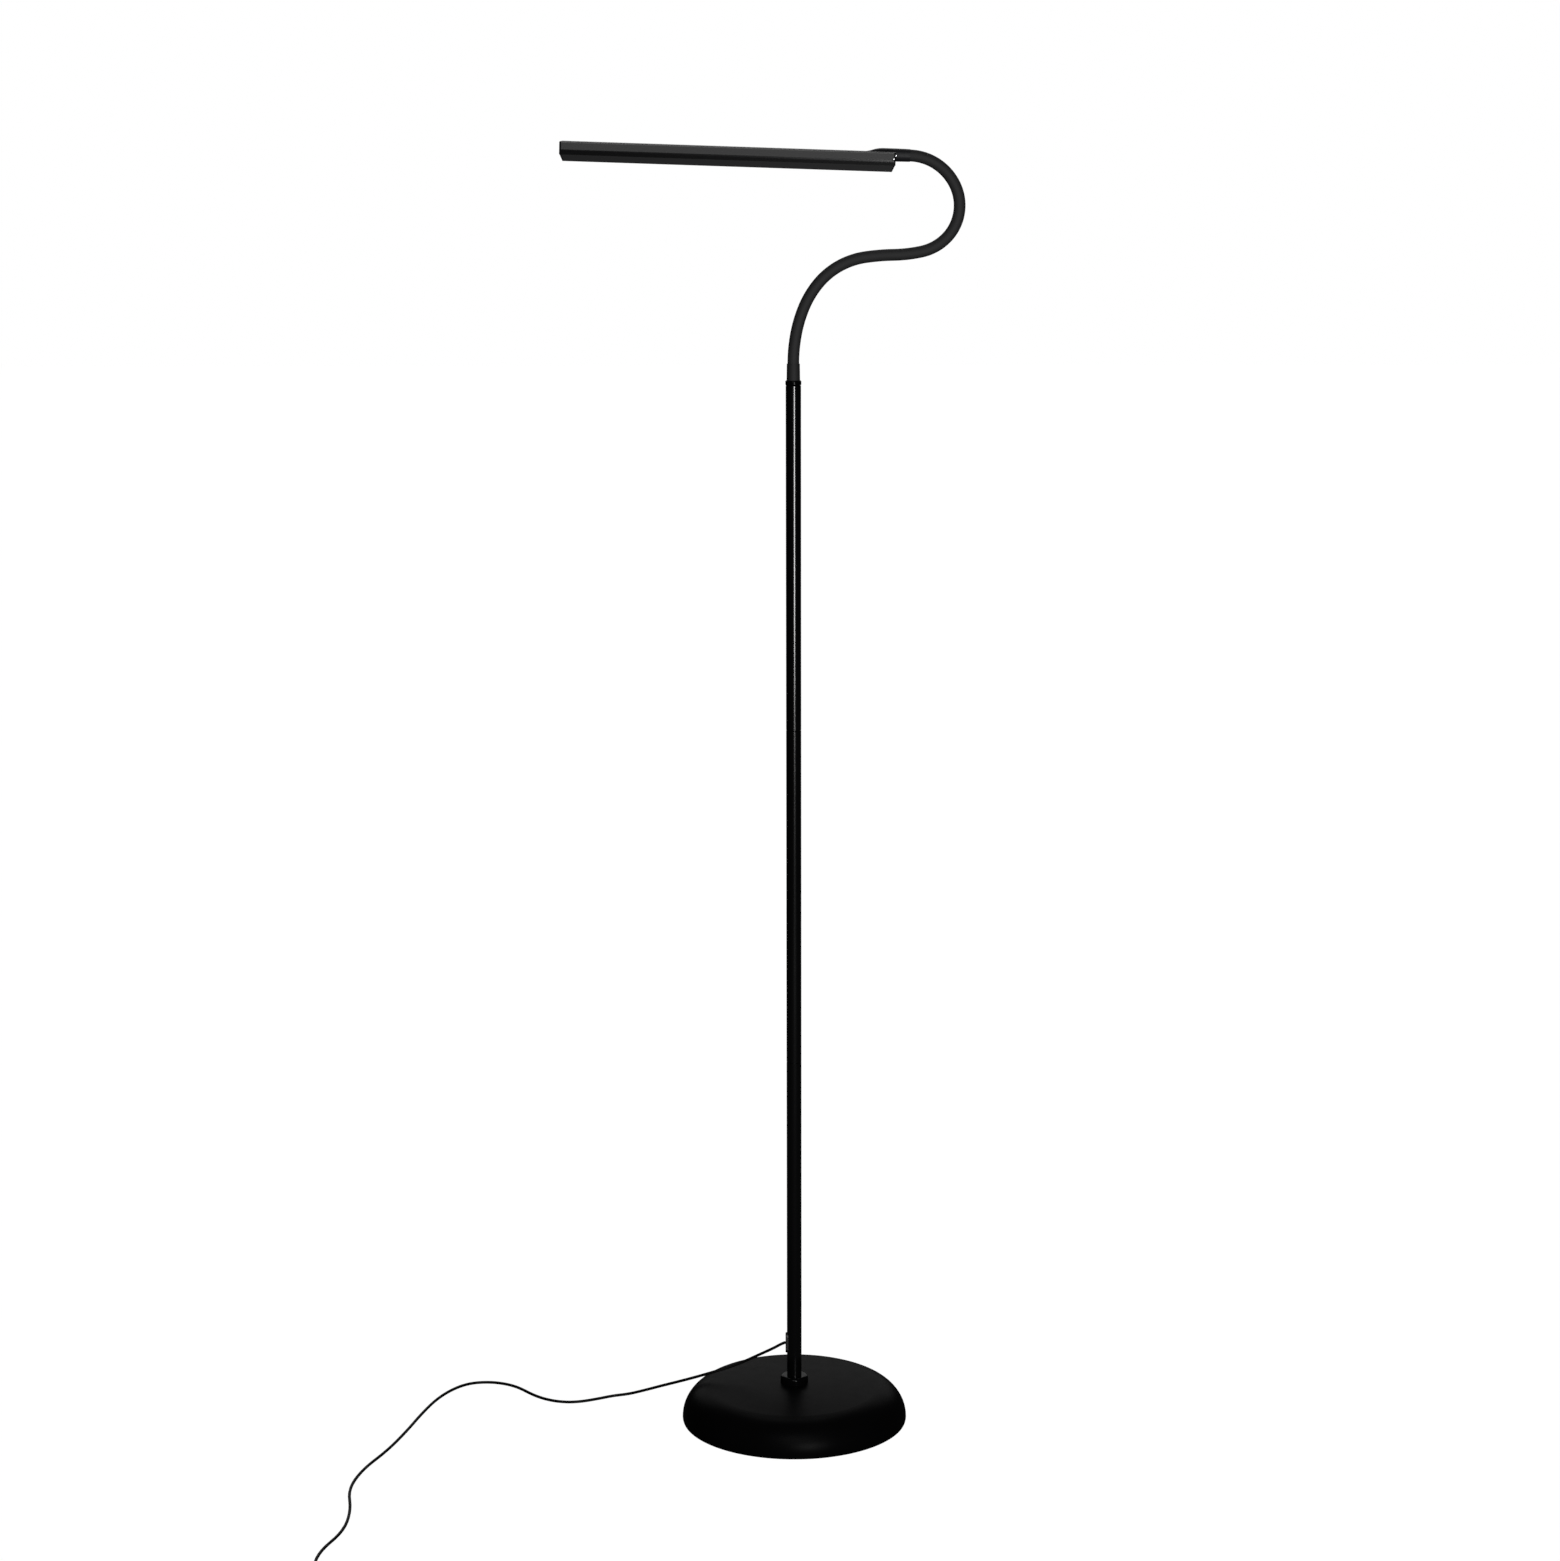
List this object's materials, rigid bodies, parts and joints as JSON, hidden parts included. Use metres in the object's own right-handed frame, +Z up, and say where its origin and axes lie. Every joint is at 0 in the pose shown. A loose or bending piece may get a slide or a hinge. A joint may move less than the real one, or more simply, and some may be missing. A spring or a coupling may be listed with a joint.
{
  "type": "gooseneck reading floor lamp",
  "caption": "Black floor lamp with a weighted round base, a thin straight pole, a bending gooseneck and a slim bar head with a strip light under it.",
  "frame": {"origin": "on the floor under the middle of the pole", "axes": "+Z up along the pole; the bar head points to -X; -Y is the front"},
  "size_m": [0.6236, 0.597, 1.3012],
  "materials": {
    "base_paint": "satin",
    "pole_paint": "gloss",
    "gloss_black": "gloss",
    "cuff_black": "satin",
    "grommet_black": "matte",
    "sleeve_black": "matte",
    "link_steel": "satin",
    "socket_grey": "satin",
    "casing_grey": "satin",
    "frame_grey": "matte",
    "touch_black": "gloss",
    "opal": "matte",
    "plain_aluminium": "satin",
    "board_white": "satin",
    "board_green": "satin",
    "led_yellow": "gloss",
    "wire_red": "satin",
    "cast_weight": "matte",
    "plain_steel": "satin",
    "screw_steel": "satin",
    "foot_pad": "matte",
    "cord_black": "satin",
    "plug_black": "satin",
    "plug_metal": "gloss",
    "tongue_white": "satin"
  },
  "bodies": {
    "stand": {"base_cover": "base_paint", "base_weight": "cast_weight", "base_plate": "plain_steel", "plate_screws": "screw_steel", "base_pad": "foot_pad", "foot_stud": "screw_steel", "foot_washer": "screw_steel", "foot_nut": "screw_steel", "pole_collar": "gloss_black", "foot_insert": "plain_steel", "pole_bottom": "pole_paint", "coupler_lower": "plain_steel", "pole_middle": "pole_paint", "coupler_upper": "plain_steel", "pole_top": "pole_paint", "pole_ring": "gloss_black", "neck_cuff": "cuff_black", "cord_grommet": "grommet_black", "pole_lead": "cord_black", "neck_link_00": "link_steel", "neck_sleeve": "sleeve_black", "neck_lead": "cord_black", "cord": "cord_black", "cord_coil": "cord_black", "cord_tail": "cord_black", "plug_relief": "plug_black", "plug_body": "plug_black", "plug_shell": "plug_metal", "plug_tongue": "tongue_white"},
    "neck_1": {"neck_link_01": "link_steel"},
    "neck_2": {"neck_link_02": "link_steel"},
    "neck_3": {"neck_link_03": "link_steel"},
    "neck_4": {"neck_link_04": "link_steel"},
    "neck_5": {"neck_link_05": "link_steel"},
    "neck_6": {"neck_link_06": "link_steel"},
    "neck_7": {"neck_link_07": "link_steel"},
    "neck_8": {"neck_link_08": "link_steel"},
    "neck_9": {"neck_link_09": "link_steel"},
    "neck_10": {"neck_link_10": "link_steel"},
    "neck_11": {"neck_link_11": "link_steel"},
    "head": {"neck_link_12": "link_steel", "head_socket": "socket_grey", "socket_clamp": "plain_steel", "clamp_screws": "screw_steel", "head_casing": "casing_grey", "touch_pad": "touch_black", "head_frame": "frame_grey", "frame_screws": "screw_steel", "head_diffuser": "opal", "heat_spreader": "plain_aluminium", "led_board": "board_white", "leds": "led_yellow", "control_board": "board_green", "head_lead": "wire_red"}
  },
  "joints": [
    {"name": "neck_bend_1", "type": "hinge", "parent": "stand", "child": "neck_1", "pos_m": [0.0006, 0, 1.10063], "axis": [-0.9962, 0, 0.0872], "range_deg": [-35, 35], "deforming": ["neck_sleeve", "neck_lead"]},
    {"name": "neck_bend_2", "type": "hinge", "parent": "neck_1", "child": "neck_2", "pos_m": [0.00545, 0, 1.12746], "axis": [0, 1, 0], "range_deg": [-50, 26], "deforming": ["neck_sleeve", "neck_lead"]},
    {"name": "neck_bend_3", "type": "hinge", "parent": "neck_2", "child": "neck_3", "pos_m": [0.01592, 0, 1.15259], "axis": [0, 1, 0], "range_deg": [-55, 21], "deforming": ["neck_sleeve", "neck_lead"]},
    {"name": "neck_bend_4", "type": "hinge", "parent": "neck_3", "child": "neck_4", "pos_m": [0.03324, 0, 1.17351], "axis": [0, 1, 0], "range_deg": [-60, 16], "deforming": ["neck_sleeve", "neck_lead"]},
    {"name": "neck_bend_5", "type": "hinge", "parent": "neck_4", "child": "neck_5", "pos_m": [0.05695, 0, 1.18672], "axis": [0, 1, 0], "range_deg": [-59, 17], "deforming": ["neck_sleeve", "neck_lead"]},
    {"name": "neck_bend_6", "type": "hinge", "parent": "neck_5", "child": "neck_6", "pos_m": [0.08379, 0, 1.19133], "axis": [-0.0785, 0, 0.9969], "range_deg": [-35, 35], "deforming": ["neck_sleeve", "neck_lead"]},
    {"name": "neck_bend_7", "type": "hinge", "parent": "neck_6", "child": "neck_7", "pos_m": [0.11104, 0, 1.19288], "axis": [0, -1, 0], "range_deg": [-49, 27], "deforming": ["neck_sleeve", "neck_lead"]},
    {"name": "neck_bend_8", "type": "hinge", "parent": "neck_7", "child": "neck_8", "pos_m": [0.13727, 0, 1.19978], "axis": [0, -1, 0], "range_deg": [-71, 5], "deforming": ["neck_sleeve", "neck_lead"]},
    {"name": "neck_bend_9", "type": "hinge", "parent": "neck_8", "child": "neck_9", "pos_m": [0.15615, 0, 1.21892], "axis": [0, -1, 0], "range_deg": [-74, 2], "deforming": ["neck_sleeve", "neck_lead"]},
    {"name": "neck_bend_10", "type": "hinge", "parent": "neck_9", "child": "neck_10", "pos_m": [0.16042, 0, 1.24544], "axis": [0, -1, 0], "range_deg": [-73, 3], "deforming": ["neck_sleeve", "neck_lead"]},
    {"name": "neck_bend_11", "type": "hinge", "parent": "neck_10", "child": "neck_11", "pos_m": [0.14882, 0, 1.26974], "axis": [0, -1, 0], "range_deg": [-69, 7], "deforming": ["neck_sleeve", "neck_lead"]},
    {"name": "neck_bend_12", "type": "hinge", "parent": "neck_11", "child": "head", "pos_m": [0.12621, 0, 1.28443], "axis": [-0.3007, 0, -0.9537], "range_deg": [-22, 22], "deforming": ["neck_sleeve", "neck_lead"]}
  ]
}
